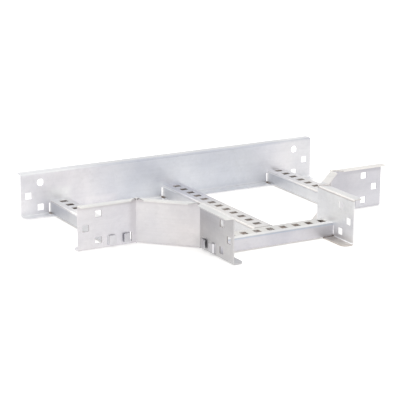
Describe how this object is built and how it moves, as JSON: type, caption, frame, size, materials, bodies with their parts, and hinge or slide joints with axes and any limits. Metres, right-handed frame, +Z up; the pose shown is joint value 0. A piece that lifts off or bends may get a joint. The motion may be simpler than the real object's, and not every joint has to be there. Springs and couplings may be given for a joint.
{
  "type": "cable ladder tee",
  "caption": "Flat tee for a cable ladder: a straight back rail and a pair of corner rails in folded sheet, tied by perforated channel rungs.",
  "frame": {"origin": "middle of the box in plan, on the plane that the bottom flanges rest on", "axes": "+X along the run, towards the right corner rail; +Y towards the back rail, away from the branch; +Z up"},
  "size_m": [0.461, 0.3306, 0.06],
  "materials": {
    "galvanised_rail": "pre-galvanised sheet, matt, faintly mottled",
    "galvanised_rung": "pre-galvanised sheet, matt, faintly mottled"
  },
  "bodies": {
    "root": {"back_side_rail": "galvanised_rail", "left_corner_rail": "galvanised_rail", "right_corner_rail": "galvanised_rail", "left_rung": "galvanised_rung", "middle_rung": "galvanised_rung", "right_rung": "galvanised_rung", "branch_rung": "galvanised_rung"}
  },
  "joints": []
}
